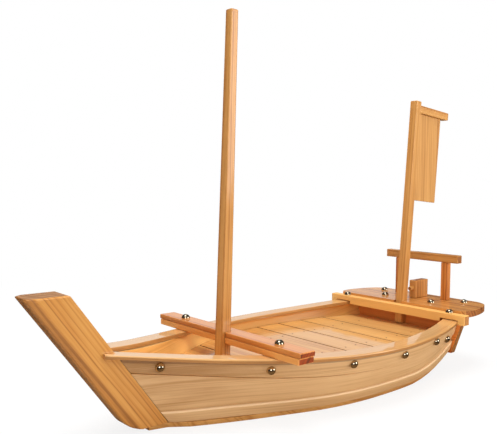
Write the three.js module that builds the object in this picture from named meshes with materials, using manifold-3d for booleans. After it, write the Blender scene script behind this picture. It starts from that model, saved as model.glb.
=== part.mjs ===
// Wooden sushi serving boat: plank hull, slatted deck, stern platform, lift-out mast and sail pole.
// Millimetres, +Z up, +X to the bow, +Y to port. Z = 0 is the table under the bottom board.
import * as THREE from "three";
import { mergeVertices } from "three/addons/utils/BufferGeometryUtils.js";
import Module from "manifold-3d";

const wasm = await Module();
wasm.setup();

// Fits
const glueGap = 0.2; // glue line between two boards
const fitGap = 0.6; // boards scribed to the inside of the planking
const slipGap = 0.4; // clearance round a piece that lifts out
const softEdge = 0.8; // broken edge on sawn bars
const cutOver = 1; // how far a cut runs past the face it opens

// Table of offsets: distance from midships, half breadth, height
const sheerTable = [
  [-282, 104, 82],
  [-246, 117, 79],
  [-183, 131.5, 75.4],
  [-100, 138.8, 73.3],
  [-20, 131.5, 74.2],
  [60, 109.8, 77.6],
  [140, 76.3, 83.6],
  [200, 48.6, 89.8],
  [262, 24.5, 97.6],
];
const floorTable = [
  [-282, 85, 24],
  [-245, 91, 12.5],
  [-205, 96.5, 4],
  [-165, 100, 0],
  [-110, 101.5, 0],
  [-59, 99.5, 0],
  [-11, 92, 0],
  [30, 80, 0],
  [81, 60, 0],
  [116, 45.5, 0],
  [149, 32, 0],
  [179, 17.5, 0],
];

// Hull planking
const boardThick = 6; // bottom board
const boardLedge = 4.5; // bottom board shows past the planks at the bow
const boardBow = 200; // forward end of the bottom board
const boardBowHalf = 13;
const boardBevel = 1.5; // under edge of the bottom board
const ledgeStart = 30; // where the ledge begins, and where it has its full width
const ledgeFull = 116;
const plankThick = 6;
const lapProud = 2.5; // sheer strake and garboard stand out from the middle strake
const garboardHeight = 16;
const sheerStrakeHeight = 22;
const sheerStrakeBow = 18.5; // its height at the stem
const tuckStart = 0.45; // share of the length where the planking draws in to the stem
const tuckPower = 3; // how late it does so
const lapRound = 1.2;
const railWidth = 24;
const railThick = 5;
const railOverhang = 4.5;
const railRound = 1.8; // upper edge
const railEase = 1.2; // lower edge
const railNoseX = 259; // forward end of the cap rails
const stationCount = 22;

// Stem
const stemHalf = 17.5;
const stemNoseHalf = 10;
const stemNoseLength = 12;
const stemFootX = 178; // aft face where it meets the bottom board
const stemRake = 0.755; // forward run for each millimetre of height
const stemFootWidth = 45.5;
const stemTopWidth = 49;
const stemTop = 162;
const stemToeRadius = 12;

// Transom
const transomFront = -281.5;
const transomThick = 10;
const transomTop = 83;
const transomFootHalf = 89;
const transomTopHalf = 109.5;

// Deck and its supports
const deckTop = 56;
const deckThick = 8;
const deckAftBoard = 72.5; // length of the aftmost board
const deckSeamAhead = 19.6; // foremost seam, before the mast
const deckSeams = 8; // the foremost board runs on to the stem
const deckEase = 0.3; // deck edge under-cut
const deckCuts = 6; // straight cuts along the end of each board
const bearerHalfY = 50;
const bearerThick = 12;
const bearerBow = 66;
const frameThick = 12;
const stepSize = 22;
const stepHeight = 14;
const stepSocket = 8;

// Main mast
const mastX = 86.4; // centre at thwart level
const mastFootSize = 14.4;
const mastTopSize = 11.3;
const mastTop = 485;
const mastRake = 0.025; // aft run for each millimetre of height
const mastChamfer = 1.2; // along its corners
const mastTip = 0.8; // at its top

// Fore thwart: a bar with a cap board, laid over the rails
const thwartFront = 89.5;
const thwartDepth = 24;
const thwartBarHeight = 7.5;
const thwartCapHeight = 6.2;
const thwartBarHalf = 134;
const thwartCapOver = 2; // the cap runs past the bar

// Stern beam, its fore face standing before the transom
const beamAhead = 27.5;
const beamDepth = 13;
const beamTop = 89;
const beamBottom = 75.7;
const beamHalf = 126;
const beamHookBottom = 74.5;

// Stern platform, measured aft from the fore face of the transom
const poopThick = 9.2;
const poopReach = 77.5;
const poopSeamBack = 31.5;
const poopHalf = 119.5;
const poopFrontHalf = 112;
const poopAftHalf = 86;
const poopCleatDepth = 14;
const poopCleatHeight = 12;
const poopCleatHalf = 84;

// Stern rail, its posts aft of the transom
const postSize = 11;
const postBack = 47.2;
const postHalfY = 43.6;
const railBarSize = 12.5;
const railBarHalf = 67.8;
const railBarBottom = 153;

// Rudder head with its tiller peg, aft of the transom
const headBack = 26.2;
const headLength = 34;
const headThick = 12.5;
const headHeight = 28.5;
const pegRadius = 3.4;
const pegOut = 8;
const pegIn = 8;
const pegHeight = 15.5; // above the platform

// Sail pole, its arm and the hanging panel
const poleSize = 12.6;
const poleAhead = 5.7; // centre at deck level, before the transom
const poleRake = 0.085; // aft run for each millimetre of height
const poleTop = 410;
const armSize = 12;
const armLength = 79;
const armDrop = 6; // from the top of the pole
const panelWidth = 63;
const panelHeight = 139.5;
const panelThick = 4;
const panelEdge = 0.5;

// Dome nails
const nailRadius = 5;
const nailDome = 3;
const nailShank = 1.1;
const nailLength = 5.5;
const nailPoint = 1.5;
const nailHoleGap = 0.15;
const nailSeat = 0.2; // under the head
const nailSides = 14;
const strakeNails = [
  // distance from midships, drop below the rail
  [197, 10.5],
  [83.4, 11],
  [-15.5, 7.5],
  [-106, 8.5],
  [-185.5, 7],
  [-233, 15.5],
];
const thwartNailIn = 45; // from the end of the cap
const beamNailIn = 29.4; // from the end of the beam
const beamNailShift = 1.2; // aft of the middle of the beam
const poopNailForeBack = 13; // aft of the transom
const poopNailForeHalf = 43.8;
const poopNailAftBack = 53.8;
const poopNailAftHalf = 76;

// Woods and metal
const pine = (tone) =>
  new THREE.MeshStandardMaterial({ color: tone, roughness: 0.35, metalness: 0 });
const stemWood = pine(0xc98f4a);
const hullWood = pine(0xcf9a5c);
const deckWood = pine(0xdba763);
const barWood = pine(0xd9a05a);
const hiddenWood = pine(0xd2b07c);
const nickel = new THREE.MeshStandardMaterial({
  color: 0x9a958a,
  roughness: 0.2,
  metalness: 1,
});

const hands = [
  ["port", 1],
  ["stbd", -1],
];
const boat = new THREE.Group();
boat.name = "sushi_boat";

// Geometry as a closed solid
function solid(geometry) {
  const bare = geometry.clone();
  bare.deleteAttribute("normal");
  bare.deleteAttribute("uv");
  const welded = mergeVertices(bare, 1e-4);
  const triVerts = new Uint32Array(welded.index.array);
  const vertProperties = welded.attributes.position.array;
  return new wasm.Manifold(new wasm.Mesh({ numProp: 3, vertProperties, triVerts }));
}

// Solid as a named mesh in the boat
function add(name, body, material) {
  const mesh = body.getMesh();
  const geometry = new THREE.BufferGeometry();
  geometry.setAttribute("position", new THREE.BufferAttribute(mesh.vertProperties, 3));
  geometry.setIndex(new THREE.BufferAttribute(mesh.triVerts, 1));
  const flat = geometry.toNonIndexed();
  flat.computeVertexNormals();
  const made = new THREE.Mesh(flat, material);
  made.name = name;
  boat.add(made);
  return body;
}

// Loft through equal loops of points, closed at both ends
function loft(loops) {
  const count = loops[0].length;
  const points = loops.flat();
  const index = [];
  for (let i = 0; i + 1 < loops.length; i += 1) {
    for (let j = 0; j < count; j += 1) {
      const a = i * count + j;
      const b = i * count + ((j + 1) % count);
      index.push(a, b, a + count, b, b + count, a + count);
    }
  }
  const last = (loops.length - 1) * count;
  for (let j = 1; j + 1 < count; j += 1) {
    index.push(0, j + 1, j);
    index.push(last, last + j, last + j + 1);
  }
  const geometry = new THREE.BufferGeometry();
  geometry.setAttribute("position", new THREE.Float32BufferAttribute(points.flat(), 3));
  geometry.setIndex(index);
  const body = solid(geometry);
  if (body.volume() > 0) return body;
  for (let i = 0; i < index.length; i += 3) index.splice(i + 1, 2, index[i + 2], index[i + 1]);
  geometry.setIndex(index);
  return solid(geometry);
}

// Box from its two corners
function box(x0, y0, z0, x1, y1, z1) {
  const geometry = new THREE.BoxGeometry(x1 - x0, y1 - y0, z1 - z0);
  geometry.translate((x0 + x1) / 2, (y0 + y1) / 2, (z0 + z1) / 2);
  return solid(geometry);
}

// Box with its edges broken all round
function softBox(x0, y0, z0, x1, y1, z1, edge = softEdge) {
  const ring = (inset, z) => [
    [x0 + edge + inset, y0 + inset, z],
    [x1 - edge - inset, y0 + inset, z],
    [x1 - inset, y0 + edge + inset, z],
    [x1 - inset, y1 - edge - inset, z],
    [x1 - edge - inset, y1 - inset, z],
    [x0 + edge + inset, y1 - inset, z],
    [x0 + inset, y1 - edge - inset, z],
    [x0 + inset, y0 + edge + inset, z],
  ];
  return loft([ring(edge, z0), ring(0, z0 + edge), ring(0, z1 - edge), ring(edge, z1)]);
}

// Flat outline in X and Y, given a thickness upward from z
function slab(outline, z, thick) {
  const shape = new THREE.Shape(outline.map(([x, y]) => new THREE.Vector2(x, y)));
  const geometry = new THREE.ExtrudeGeometry(shape, { depth: thick, bevelEnabled: false });
  geometry.translate(0, 0, z);
  return solid(geometry);
}

// Flat outline in X and Z, centred on a distance to port
function sideSlab(outline, y, thick) {
  const shape = new THREE.Shape(outline.map(([x, z]) => new THREE.Vector2(x, z)));
  const geometry = new THREE.ExtrudeGeometry(shape, { depth: thick, bevelEnabled: false });
  geometry.rotateX(Math.PI / 2);
  geometry.translate(0, y + thick / 2, 0);
  return solid(geometry);
}

// Fair curve through one column of a table
function fair(table, column) {
  const slope = (i) => {
    const a = table[Math.max(0, i - 1)];
    const b = table[Math.min(table.length - 1, i + 1)];
    return (b[column] - a[column]) / (b[0] - a[0]);
  };
  return (x) => {
    let i = 0;
    while (i + 2 < table.length && x > table[i + 1][0]) i += 1;
    const span = table[i + 1][0] - table[i][0];
    const t = Math.min(1, Math.max(0, (x - table[i][0]) / span));
    const rise = 3 * t * t - 2 * t * t * t;
    const value = table[i][column] * (1 - rise) + table[i + 1][column] * rise;
    const start = (t - 2 * t * t + t * t * t) * span * slope(i);
    const end = (t * t * t - t * t) * span * slope(i + 1);
    return value + start + end;
  };
}

const railHalf = fair(sheerTable, 1);
const railTop = fair(sheerTable, 2);
const floorHalf = fair(floorTable, 1);
const floorRise = fair(floorTable, 2);
const boardTop = (x) => boardThick + Math.max(0, floorRise(x));
const stemAft = (z) => stemFootX + stemRake * (z - boardThick);
const blend = (a, b, t) => a + (b - a) * t;
const tuck = (run) => Math.max(0, (run - tuckStart) / (1 - tuckStart)) ** tuckPower;

// Height at which the sheer meets the stem
let stemSheer = boardThick;
for (let i = 0; i < 30; i += 1) {
  stemSheer = railTop(stemAft(stemSheer) - glueGap) - railThick - glueGap;
}

// Outer face at one station. Run goes from the transom to the stem, rise from the floor to the rail.
function station(run, rise) {
  const lowX = blend(transomFront + glueGap, stemFootX - glueGap, run);
  const highX = blend(transomFront + glueGap, stemAft(stemSheer) - glueGap, run);
  const lowZ = boardTop(lowX) + glueGap;
  const highZ = railTop(highX) - railThick - glueGap;
  const highHalf = blend(railHalf(highX) - railOverhang - lapProud, stemHalf, tuck(run));
  const low = [lowX, floorHalf(lowX), lowZ];
  return [highX, highHalf, highZ].map((v, i) => blend(low[i], v, rise));
}

// Outer face of the planking, straight from station to station
function planking(run, rise) {
  const step = Math.min(stationCount - 1, Math.floor(run * stationCount + 1e-9));
  const fore = station((step + 1) / stationCount, rise);
  const share = run * stationCount - step;
  return station(step / stationCount, rise).map((v, i) => blend(v, fore[i], share));
}

// Height of the planking at one run, to turn strake heights into rises
function plankingHeight(run) {
  return planking(run, 1)[2] - planking(run, 0)[2];
}

// Inner half breadth at a place, found along the ruled planking
function innerHalf(x, z) {
  let run = 0.5;
  let rise = 0.5;
  for (let i = 0; i < 40; i += 1) {
    const low = blend(planking(0, rise)[0], planking(1, rise)[0], run);
    run = Math.min(1, Math.max(0, run + (x - low) / (planking(1, rise)[0] - planking(0, rise)[0])));
    rise = Math.min(1, Math.max(0, (z - planking(run, 0)[2]) / plankingHeight(run)));
  }
  return planking(run, rise)[1] - plankThick - fitGap;
}

// One strake between two rises, on the port side or mirrored
function strake(side, from, to, proud, roundLow, roundHigh) {
  const loops = [];
  for (let i = 0; i <= stationCount; i += 1) {
    const run = i / stationCount;
    const low = from(run);
    const high = to(run);
    const soft = lapRound / plankingHeight(run);
    const at = (rise, out) => {
      const [x, y, z] = planking(run, rise);
      return [x, side * (y + out), z];
    };
    const outer = [at(low, proud), at(high, proud)];
    if (roundLow) outer.splice(0, 1, at(low, proud - lapRound), at(low + soft, proud));
    if (roundHigh) outer.splice(-1, 1, at(high - soft, proud), at(high, proud - lapRound));
    loops.push([...outer, at(high, -plankThick), at(low, -plankThick)]);
  }
  return loft(loops);
}

const garboardEnd = (run) => garboardHeight / plankingHeight(run);
const garboardLap = (run) => (garboardHeight - glueGap) / plankingHeight(run);
const sheerHeight = (run) => blend(sheerStrakeHeight, sheerStrakeBow, tuck(run));
const sheerStart = (run) => 1 - sheerHeight(run) / plankingHeight(run);
const sheerLap = (run) => 1 - (sheerHeight(run) + glueGap) / plankingHeight(run);

// A dome nail on +Z with its underside at the origin, and the hole for its shank
const nailProfile = [
  [0, nailDome],
  [nailRadius * 0.42, nailDome * 0.9],
  [nailRadius * 0.75, nailDome * 0.63],
  [nailRadius * 0.95, nailDome * 0.25],
  [nailRadius, 0],
  [nailShank, 0],
  [nailShank, nailPoint - nailLength],
  [0, -nailLength],
];
const nailBody = solid(
  new THREE.LatheGeometry(
    nailProfile.map(([r, z]) => new THREE.Vector2(r, -z)),
    nailSides,
  ).rotateX(-Math.PI / 2),
);
const holeRadius = nailShank + nailHoleGap;
const holeDepth = nailLength + nailHoleGap;
const holeBody = solid(
  new THREE.CylinderGeometry(holeRadius, holeRadius, holeDepth + nailDome, nailSides)
    .rotateX(Math.PI / 2)
    .translate(0, 0, (nailDome - holeDepth) / 2),
);

// Turn a +Z solid to a direction and set it at a place
function aim(body, place, direction) {
  const up = new THREE.Vector3(0, 0, 1);
  const out = new THREE.Vector3(...direction).normalize();
  const turn = new THREE.Quaternion().setFromUnitVectors(up, out);
  const matrix = new THREE.Matrix4().makeRotationFromQuaternion(turn).setPosition(...place);
  return body.transform(matrix.elements);
}

// Nail a wooden piece: the hole is cut, and the nail goes in until its head meets the wood
function nailed(wood, name, place, direction) {
  const drilled = wood.subtract(aim(holeBody, place, direction));
  const out = new THREE.Vector3(...direction).normalize().multiplyScalar(nailSeat);
  const seat = new THREE.Vector3(...place).add(out);
  let nail = aim(nailBody, seat.toArray(), direction);
  while (nail.intersect(drilled).volume() > 0) {
    seat.add(out);
    nail = aim(nailBody, seat.toArray(), direction);
  }
  add(name, nail, nickel);
  return drilled;
}

// Stem: raked post with a tapered nose and a rounded toe
function stemSection(z) {
  const aft = stemAft(z);
  const width = blend(stemFootWidth, stemTopWidth, (z - boardThick) / (stemTop - boardThick));
  const nose = aft + width - stemNoseLength;
  return [
    [aft, -stemHalf, z],
    [nose, -stemHalf, z],
    [aft + width, -stemNoseHalf, z],
    [aft + width, stemNoseHalf, z],
    [nose, stemHalf, z],
    [aft, stemHalf, z],
  ];
}
const stemFoot = boardThick + glueGap;
const stemBlock = loft([stemSection(stemFoot), stemSection(stemTop)]);
const toeX = stemFootX + stemFootWidth;
const stemSide = new THREE.Shape();
stemSide.moveTo(stemFootX - stemFootWidth, stemFoot);
stemSide.lineTo(toeX - stemToeRadius, stemFoot);
stemSide.quadraticCurveTo(toeX, stemFoot, toeX + stemRake * stemToeRadius, stemFoot + stemToeRadius);
stemSide.lineTo(toeX + 2 * stemRake * stemTop, stemFoot + 2 * stemTop);
stemSide.lineTo(stemFootX - stemFootWidth, stemFoot + 2 * stemTop);
const stemMask = new THREE.ExtrudeGeometry(stemSide, {
  depth: 4 * stemHalf,
  bevelEnabled: false,
  curveSegments: 6,
});
stemMask.rotateX(Math.PI / 2).translate(0, 2 * stemHalf, 0);
const stem = stemBlock.intersect(solid(stemMask));
add("stem", stem, stemWood);

// Bottom board, bent up to the transom
const boardLoops = [];
for (let i = 0; i <= stationCount; i += 1) {
  const x = blend(transomFront + glueGap, boardBow, i / stationCount);
  const ledge = boardLedge * THREE.MathUtils.smoothstep(x, ledgeStart, ledgeFull);
  const past = THREE.MathUtils.smoothstep(x, stemFootX - 2 * stemNoseHalf, boardBow);
  const half = blend(floorHalf(x) + ledge, boardBowHalf, past);
  const top = boardTop(x);
  boardLoops.push([
    [x, -half + boardBevel, top - boardThick],
    [x, half - boardBevel, top - boardThick],
    [x, half, top],
    [x, -half, top],
  ]);
}
add("bottom_board", loft(boardLoops), hullWood);

// Strakes and cap rails, port and starboard
for (const [hand, side] of hands) {
  const garboard = strake(side, () => 0, garboardLap, lapProud, false, true);
  const middle = strake(side, garboardEnd, sheerLap, 0, false, false);
  let sheer = strake(side, sheerStart, () => 1, lapProud, true, false);
  strakeNails.forEach(([x, drop], i) => {
    const length = stemAft(stemSheer) - transomFront;
    let run = (x - transomFront) / length;
    const rise = 1 - drop / plankingHeight(run);
    run += (x - planking(run, rise)[0]) / length;
    const centre = new THREE.Vector3(...planking(run, rise));
    const fore = new THREE.Vector3(...planking(run + nailRadius / length, rise));
    const aft = new THREE.Vector3(...planking(run - nailRadius / length, rise));
    const upward = new THREE.Vector3(...planking(run, 1)).sub(centre);
    const out = aft.clone().sub(fore).cross(upward).multiply(new THREE.Vector3(1, side, 1));
    const half = Math.max(centre.y, (fore.y + aft.y) / 2) + lapProud;
    const place = [centre.x, side * half, centre.z];
    sheer = nailed(sheer, `strake_nail_${hand}_${i + 1}`, place, out.toArray());
  });
  add(`garboard_${hand}`, garboard, hullWood);
  add(`mid_strake_${hand}`, middle, hullWood);
  add(`sheer_strake_${hand}`, sheer, hullWood);

  const railLoops = [];
  for (let i = 0; i <= stationCount; i += 1) {
    const x = blend(transomFront + glueGap, railNoseX, i / stationCount);
    const half = railHalf(x);
    const top = railTop(x);
    const under = top - railThick;
    railLoops.push([
      [x, side * (half - railWidth), under],
      [x, side * (half - railEase), under],
      [x, side * half, under + railEase],
      [x, side * half, top - railRound],
      [x, side * (half - railRound), top],
      [x, side * (half - railWidth), top],
    ]);
  }
  const stemRoom = loft(
    [stemFoot, stemTop].map((z) =>
      stemSection(z).map(([x, y, h]) => [
        x + (x < stemAft(z) + 1 ? -glueGap : glueGap),
        y + Math.sign(y) * glueGap,
        h,
      ]),
    ),
  );
  add(`cap_rail_${hand}`, loft(railLoops).subtract(stemRoom), barWood);
}

// Transom, wider than the planking
const transomAft = transomFront - transomThick;
const transomFoot = boardTop(transomFront) - boardThick;
const transomLoop = (x) => [
  [x, -transomFootHalf, transomFoot],
  [x, transomFootHalf, transomFoot],
  [x, transomTopHalf, transomTop],
  [x, -transomTopHalf, transomTop],
];
const transomBoard = loft([transomLoop(transomAft), transomLoop(transomFront)]);

// Mast line: square, tapered, raked aft
const mastFoot = boardThick + stepHeight - stepSocket + 2 * glueGap;
const thwartSeat = Math.max(railTop(thwartFront), railTop(thwartFront - thwartDepth)) + glueGap;
const mastAt = (z) => mastX - mastRake * (z - thwartSeat - thwartBarHeight);
function mastLoop(z, size, extra) {
  const half = size / 2 + extra;
  const cut = mastChamfer;
  const x = mastAt(z);
  return [
    [x - half + cut, -half, z],
    [x + half - cut, -half, z],
    [x + half, -half + cut, z],
    [x + half, half - cut, z],
    [x + half - cut, half, z],
    [x - half + cut, half, z],
    [x - half, half - cut, z],
    [x - half, -half + cut, z],
  ];
}
const capBase = thwartSeat + thwartBarHeight + glueGap;
const capTop = capBase + thwartCapHeight;
const mastRoomTop = capTop + thwartDepth;
const mastRoom = box(-1, -1, 0, 1, 1, 1)
  .scale([mastFootSize / 2 + slipGap, mastFootSize / 2 + slipGap, mastRoomTop - mastFoot + glueGap])
  .warp((v) => {
    v[2] += mastFoot - glueGap;
    v[0] += mastAt(v[2]);
  });
add(
  "main_mast",
  loft([
    mastLoop(mastFoot, mastFootSize, 0),
    mastLoop(thwartSeat, mastFootSize, 0),
    mastLoop(mastTop - mastTip, mastTopSize, 0),
    mastLoop(mastTop, mastTopSize, -mastTip),
  ]),
  barWood,
);

// Deck planks across the hull
const deckUnder = deckTop - deckThick;
const stemAtDeck = stemAft(deckUnder) - glueGap;
const seams = [transomFront + glueGap];
const aftSeam = transomFront + deckAftBoard;
const foreSeam = mastX + deckSeamAhead;
for (let i = 0; i < deckSeams; i += 1) seams.push(blend(aftSeam, foreSeam, i / (deckSeams - 1)));
seams.push(stemAtDeck);
for (let i = 0; i + 1 < seams.length; i += 1) {
  const from = seams[i] + (i ? glueGap : 0);
  const to = seams[i + 1] - (i + 2 < seams.length ? glueGap : 0);
  const loops = [];
  for (let j = 0; j <= deckCuts; j += 1) {
    const x = blend(from, to, j / deckCuts);
    const low = innerHalf(x, deckUnder);
    const high = innerHalf(x, deckTop);
    const rim = Math.min(low, high) === low ? high - deckEase : low;
    loops.push([
      [x, -low, deckUnder],
      [x, low, deckUnder],
      [x, rim, deckTop],
      [x, -rim, deckTop],
    ]);
  }
  let plank = loft(loops);
  if (from < mastX && to > mastX) plank = plank.subtract(mastRoom);
  add(`deck_plank_${i + 1}`, plank, deckWood);
}

// Bearers under the deck, shaped to the bottom board
const bearerTop = deckUnder - glueGap;
const bearerProfile = [];
for (let i = 0; i <= 12; i += 1) {
  const x = blend(transomFront + 2 * glueGap, bearerBow, i / 12);
  bearerProfile.push([x, boardTop(x) + 2 * glueGap]);
}
bearerProfile.push([bearerBow, bearerTop], [transomFront + 2 * glueGap, bearerTop]);
add("bearer_port", sideSlab(bearerProfile, bearerHalfY, bearerThick), hiddenWood);
add("bearer_stbd", sideSlab(bearerProfile, -bearerHalfY, bearerThick), hiddenWood);

// Mast step on the bottom board
const stepAft = mastAt(mastFoot) - stepSize / 2;
const stepFront = stepAft + stepSize;
const stepBase = boardThick + glueGap;
const stepTop = stepBase + stepHeight;
const step = softBox(stepAft, -stepSize / 2, stepBase, stepFront, stepSize / 2, stepTop);
add("mast_step", step.subtract(mastRoom), hiddenWood);

// Frames across the bow, under the deck seams
const frameSeams = seams.filter((x) => x > bearerBow && x < stemFootX - frameThick);
frameSeams.forEach((x, i) => {
  const aft = Math.max(x - frameThick / 2, stepFront + fitGap);
  const ends = [aft, aft + frameThick];
  const narrow = (z) => Math.min(...ends.map((e) => innerHalf(e, z))) - fitGap;
  const foot = boardThick + 2 * glueGap;
  const loop = (e) => [
    [e, -narrow(foot), foot],
    [e, narrow(foot), foot],
    [e, narrow(bearerTop), bearerTop],
    [e, -narrow(bearerTop), bearerTop],
  ];
  add(`bow_frame_${i + 1}`, loft(ends.map(loop)), hiddenWood);
});

// Fore thwart, notched for the mast
const thwartAft = thwartFront - thwartDepth;
const barTop = thwartSeat + thwartBarHeight;
const thwartBar = softBox(thwartAft, -thwartBarHalf, thwartSeat, thwartFront, thwartBarHalf, barTop);
const mastSlot = mastRoom.add(mastRoom.translate([mastFootSize, 0, 0]));
add("thwart_bar", thwartBar.subtract(mastSlot), barWood);
const thwartCapHalf = thwartBarHalf + thwartCapOver;
let thwartCap = softBox(thwartAft, -thwartCapHalf, capBase, thwartFront, thwartCapHalf, capTop);
thwartCap = thwartCap.subtract(mastSlot);
const thwartMid = (thwartFront + thwartAft) / 2;
for (const [hand, side] of hands) {
  const place = [thwartMid, side * (thwartCapHalf - thwartNailIn), capTop];
  thwartCap = nailed(thwartCap, `thwart_nail_${hand}`, place, [0, 0, 1]);
}
add("thwart_cap", thwartCap, barWood);

// Stern beam, notched over the rails and hooked outside them
const beamFront = transomFront + beamAhead;
const beamAft = beamFront - beamDepth;
const notchTop = Math.max(railTop(beamFront), railTop(beamAft)) + glueGap;
const notchOuter = Math.max(railHalf(beamFront), railHalf(beamAft)) + glueGap;
const notchInner = Math.min(railHalf(beamFront), railHalf(beamAft)) - railWidth - glueGap;
let beam = softBox(beamAft, -beamHalf, beamHookBottom, beamFront, beamHalf, beamTop);
const beamCut = (y0, y1, top) =>
  box(beamAft - cutOver, y0, beamHookBottom - cutOver, beamFront + cutOver, y1, top);
beam = beam.subtract(beamCut(-notchInner, notchInner, beamBottom));
const beamNailX = (beamFront + beamAft) / 2 - beamNailShift;
for (const [hand, side] of hands) {
  const near = Math.min(side * notchInner, side * notchOuter);
  const far = Math.max(side * notchInner, side * notchOuter);
  beam = beam.subtract(beamCut(near, far, notchTop));
  const place = [beamNailX, side * (beamHalf - beamNailIn), beamTop];
  beam = nailed(beam, `beam_nail_${hand}`, place, [0, 0, 1]);
}
add("stern_beam", beam, barWood);

// Sail pole, in its own upright frame and then raked
const poleFoot = deckTop + glueGap;
const poleLength = poleTop - poleFoot;
const poleHalf = poleSize / 2;
const poleLean = new THREE.Matrix4()
  .makeRotationY(-Math.atan(poleRake))
  .setPosition(transomFront + poleAhead, 0, poleFoot + poleHalf * poleRake);
const lean = (body) => body.transform(poleLean.elements);
const armTop = poleLength - armDrop;
const armUnder = armTop - armSize;
const armStart = -poleHalf - glueGap;
const panelTop = armUnder - glueGap;
const pole = softBox(-poleHalf, -poleHalf, 0, poleHalf, poleHalf, poleLength);
const arm = softBox(armStart - armLength, -armSize / 2, armUnder, armStart, armSize / 2, armTop);
const panel = softBox(
  armStart - panelWidth,
  -panelThick / 2,
  panelTop - panelHeight,
  armStart,
  panelThick / 2,
  panelTop,
  panelEdge,
);
add("sail_pole", lean(pole), barWood);
add("sail_arm", lean(arm), barWood);
add("sail_panel", lean(panel), deckWood);
const roomHalf = poleHalf + slipGap;
const poleRoom = lean(box(-roomHalf, -roomHalf, -cutOver, roomHalf, roomHalf, poleLength));

// The transom is grooved for the pole
add("transom", transomBoard.subtract(poleRoom), hullWood);

// Stern platform: two planks with a rounded outline, the fore one notched for the pole
const poopFront = beamAft - glueGap;
const poopUnder = transomTop + glueGap;
const poopTop = poopUnder + poopThick;
const poopAft = transomFront - poopReach;
const poopSeam = transomFront - poopSeamBack;
const poopSpan = poopFront - poopAft;
const poopRim = new THREE.SplineCurve(
  [
    [0, poopFrontHalf],
    [0.09, blend(poopFrontHalf, poopHalf, 0.75)],
    [0.25, poopHalf],
    [0.52, blend(poopAftHalf, poopHalf, 0.9)],
    [0.8, blend(poopAftHalf, poopHalf, 0.66)],
    [0.93, blend(poopAftHalf, poopHalf, 0.38)],
    [1, poopAftHalf],
  ].map(([share, half]) => new THREE.Vector2(poopFront - share * poopSpan, half)),
).getPoints(22);
const poopOutline = [
  ...poopRim.map((p) => [p.x, p.y]),
  ...poopRim.reverse().map((p) => [p.x, -p.y]),
];
const poopBoard = slab(poopOutline, poopUnder, poopThick);
const poopCut = (x0, x1) =>
  box(x0, -2 * poopHalf, poopUnder - cutOver, x1, 2 * poopHalf, poopTop + cutOver);
let poopFore = poopBoard.intersect(poopCut(poopSeam + glueGap, poopFront + cutOver));
poopFore = poopFore.subtract(poleRoom).subtract(poleRoom.translate([poleSize, 0, 0]));
let poopRear = poopBoard.intersect(poopCut(poopAft - cutOver, poopSeam));
for (const [hand, side] of hands) {
  const fore = [transomFront - poopNailForeBack, side * poopNailForeHalf, poopTop];
  const rear = [transomFront - poopNailAftBack, side * poopNailAftHalf, poopTop];
  poopFore = nailed(poopFore, `poop_nail_fore_${hand}`, fore, [0, 0, 1]);
  poopRear = nailed(poopRear, `poop_nail_aft_${hand}`, rear, [0, 0, 1]);
}
add("poop_plank_fore", poopFore, deckWood);
add("poop_plank_aft", poopRear, deckWood);

// Cleat behind the transom that carries the platform
const cleatFront = transomAft - glueGap;
const cleatTop = poopUnder - glueGap;
add(
  "poop_cleat",
  softBox(
    cleatFront - poopCleatDepth,
    -poopCleatHalf,
    cleatTop - poopCleatHeight,
    cleatFront,
    poopCleatHalf,
    cleatTop,
  ),
  hiddenWood,
);

// Stern rail: two posts and a bar
const poopStand = poopTop + glueGap;
const postFront = transomFront - postBack;
for (const [hand, side] of hands) {
  const middle = side * postHalfY;
  add(
    `stern_post_${hand}`,
    softBox(
      postFront - postSize,
      middle - postSize / 2,
      poopStand,
      postFront,
      middle + postSize / 2,
      railBarBottom - glueGap,
    ),
    barWood,
  );
}
const barFront = postFront + (railBarSize - postSize) / 2;
add(
  "stern_rail_bar",
  softBox(
    barFront - railBarSize,
    -railBarHalf,
    railBarBottom,
    barFront,
    railBarHalf,
    railBarBottom + railBarSize,
  ),
  barWood,
);

// Rudder head and tiller peg
const headFront = transomFront - headBack;
const pegZ = poopStand + pegHeight;
const pegLength = pegOut + pegIn;
const peg = solid(
  new THREE.CylinderGeometry(pegRadius, pegRadius, pegLength, 16).rotateZ(Math.PI / 2),
).translate([headFront + pegOut - pegLength / 2, 0, pegZ]);
const pegHole = solid(
  new THREE.CylinderGeometry(pegRadius + glueGap, pegRadius + glueGap, pegLength, 16).rotateZ(
    Math.PI / 2,
  ),
).translate([headFront + pegOut - pegLength / 2 - glueGap, 0, pegZ]);
const head = softBox(
  headFront - headLength,
  -headThick / 2,
  poopStand,
  headFront,
  headThick / 2,
  poopStand + headHeight,
);
add("rudder_head", head.subtract(pegHole), barWood);
add("tiller_peg", peg, barWood);

export default boat;
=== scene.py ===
# %% [markdown]
# # A wooden sushi boat
# A sushi boat is a serving dish: a small open hull of pale pine whose deck carries the food. The packed
# model already holds every board, bar and nail at its real size and place. This lesson dresses it with
# softened edges, grain that runs along each board, polished dome nails and a clear gloss lacquer. The
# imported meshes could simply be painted, but a boat looks made of boards only if each board has its own
# grain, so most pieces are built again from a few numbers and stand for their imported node.

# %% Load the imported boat
import math

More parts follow.
